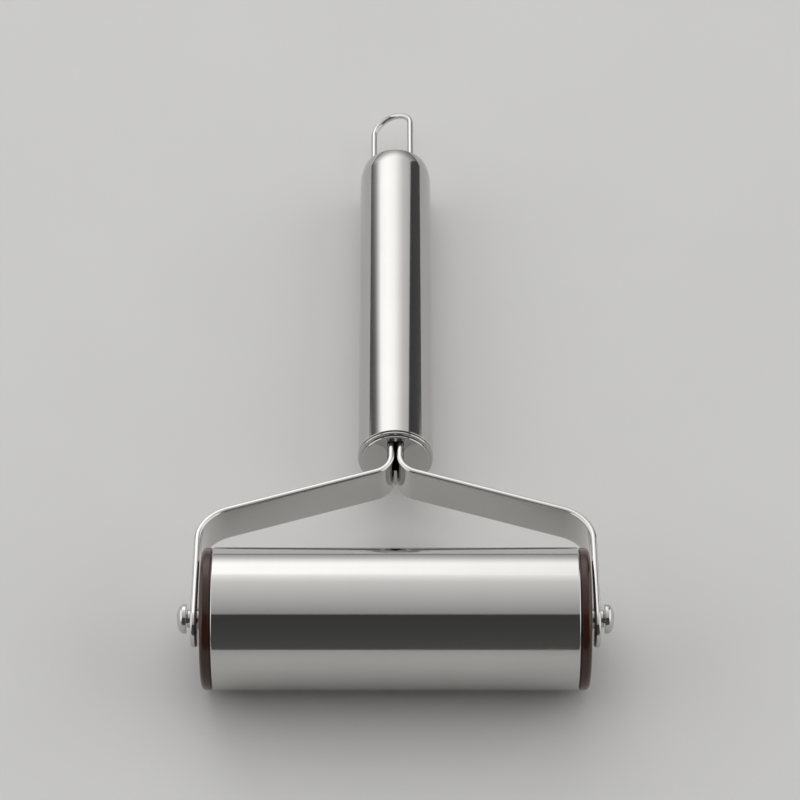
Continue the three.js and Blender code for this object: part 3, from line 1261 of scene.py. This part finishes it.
@dataclass(frozen=True)
class SoftBox:
    """A large soft lamp, with its brightness graded across and along it."""

    name: str
    place: tuple[float, float, float]
    target: tuple[float, float, float]
    width: float
    height: float
    radiance: float
    across: tuple[Point, ...] = ((0.0, 1.0), (1.0, 1.0))
    along: tuple[Point, ...] = ((0.0, 1.0), (1.0, 1.0))

    def build(self) -> None:
        """Add the lamp, out of the camera's sight."""
        bpy.ops.object.light_add(type="AREA", location=self.place)
        lamp = bpy.context.object
        lamp.name = self.name
        lamp.rotation_euler = (Vector(self.target) - Vector(self.place)).to_track_quat("-Z", "Y").to_euler()
        lamp.visible_camera = False
        lamp.data.shape = "RECTANGLE"
        lamp.data.size = self.width
        lamp.data.size_y = self.height
        lamp.data.energy = self.radiance * math.pi * self.width * self.height
        graph = Graph.emptied(lamp.data)
        place = graph.node("ShaderNodeNewGeometry", {}, {}, "Parametric")
        level = self.graded(graph, place, "X", self.across) * self.graded(graph, place, "Y", self.along)
        light = graph.node("ShaderNodeEmission", {}, {"Strength": level})
        graph.node("ShaderNodeOutputLight", {}, {"Surface": light})

    @staticmethod
    def graded(graph: Graph, place: Wire, axis: str, levels: Sequence[Point]) -> Wire:
        """Brightness along one axis of the lamp.

        Args:
            graph: the lamp's nodes.
            place: place on the lamp, from 0 to 1 each way.
            axis: X or Y.
            levels: pairs of place and level.

        Returns:
            The level.
        """
        share = graph.node("ShaderNodeSeparateXYZ", {}, {"Vector": place}, axis)
        stops = [(at, (level, level, level)) for at, level in levels]
        return graph.node("ShaderNodeValToRGB", {"stops": stops}, {"Fac": share})


@dataclass
class Studio:
    """Pale floor, soft light and the camera, in metres."""

    floor_size: float = 16.0
    floor_light: Colour = (0.77, 0.765, 0.757)
    floor_dark: Colour = (0.73, 0.725, 0.717)
    floor_mark: float = 0.05
    floor_roughness: float = 0.55
    horizon: Colour = (0.09, 0.09, 0.091)
    zenith: Colour = (0.05, 0.05, 0.051)
    camera_place: tuple[float, float, float] = (0.0, -0.743, 0.79858)
    camera_tilt: float = math.radians(43.036)
    camera_shift: float = 0.0056
    lens: float = 162.27
    sensor: float = 36.0

    def build(self) -> None:
        """Set up the stage."""
        bpy.context.scene.view_settings.view_transform = "Standard"
        self.build_camera()
        self.build_floor()
        self.build_world()
        for lamp in self.lamps():
            lamp.build()

    def lamps(self) -> list[SoftBox]:
        """The lamps: a wide one behind the tool, a fainter one overhead and a low one at each side.

        Returns:
            The lamps.
        """
        back = SoftBox(
            "back_lamp", place=(-0.725, 4.2, 2.95), target=(-0.725, 0.0, 2.95),
            width=6.95, height=5.6, radiance=1.79,
            across=(
                (0.0, 0.34), (0.18, 0.46), (0.42, 0.86), (0.62, 0.96), (0.8, 0.9), (0.93, 0.15), (1.0, 0.0),
            ),
            along=((0.0, 0.2), (0.16, 0.43), (0.34, 0.88), (0.42, 1.0), (0.92, 1.0), (1.0, 0.8)),
        )
        top = SoftBox(
            "top_lamp", place=(0.0, 0.25, 5.7), target=(0.0, 0.25, 0.0),
            width=8.5, height=7.9, radiance=1.2,
            along=((0.0, 0.26), (0.3, 0.44), (0.75, 0.69), (1.0, 1.07)),
        )
        sides = [
            SoftBox(
                name, place=(x, 0.65, 2.75), target=(0.0, 0.65, 2.75), width=7.5, height=5.1, radiance=1.19
            )
            for name, x in (("left_lamp", -4.5), ("right_lamp", 4.5))
        ]
        return [back, top, *sides]

    def build_camera(self) -> None:
        """Add the camera at the photograph's viewing angle."""
        bpy.ops.object.camera_add(location=self.camera_place, rotation=(self.camera_tilt, 0.0, 0.0))
        camera = bpy.context.object
        camera.name = "camera"
        camera.data.sensor_width = self.sensor
        camera.data.lens = self.lens
        camera.data.shift_x = self.camera_shift
        bpy.context.scene.camera = camera

    def build_floor(self) -> None:
        """Add the floor under the tool, a plain pale sheet with faint clouding."""
        bpy.ops.object.select_all(action="DESELECT")
        bpy.ops.mesh.primitive_plane_add(size=self.floor_size)
        floor = Workpiece.taken("floor").obj
        material = bpy.data.materials.new("pale_floor")
        graph = Graph.emptied(material)
        clouds = graph.noise((self.floor_mark,) * 3, Grain.MOTTLE)
        inputs = {
            "Base Color": graph.mix(clouds, self.floor_dark, self.floor_light),
            "Roughness": self.floor_roughness,
        }
        graph.principled(inputs)
        floor.data.materials.append(material)

    def build_world(self) -> None:
        """Light the surroundings faintly, a little less overhead than at the horizon."""
        world = bpy.data.worlds.new("studio")
        graph = Graph.emptied(world)
        direction = graph.node("ShaderNodeTexCoord", {}, {}, "Generated")
        height = graph.node("ShaderNodeSeparateXYZ", {}, {"Vector": direction}, "Z")
        stops = [(0.0, self.horizon), (1.0, self.zenith)]
        colour = graph.node("ShaderNodeValToRGB", {"stops": stops}, {"Fac": height})
        light = graph.node("ShaderNodeBackground", {}, {"Color": colour})
        graph.node("ShaderNodeOutputWorld", {}, {"Surface": light})
        bpy.context.scene.world = world


def main() -> None:
    """Set up the studio, then build, dress and report each sub-assembly."""
    logging.basicConfig(level=logging.INFO, format="%(name)s: %(message)s")
    Studio().build()
    for assembly in (Handle(), Fork(), Axle(), Roller()):
        assembly.build()
        assembly.dress()
        for node, piece in assembly.pieces.items():
            LOG.info("%s replaces %s: %d faces", piece.obj.name, node, len(piece.obj.data.polygons))


if __name__ == "__main__":
    main()
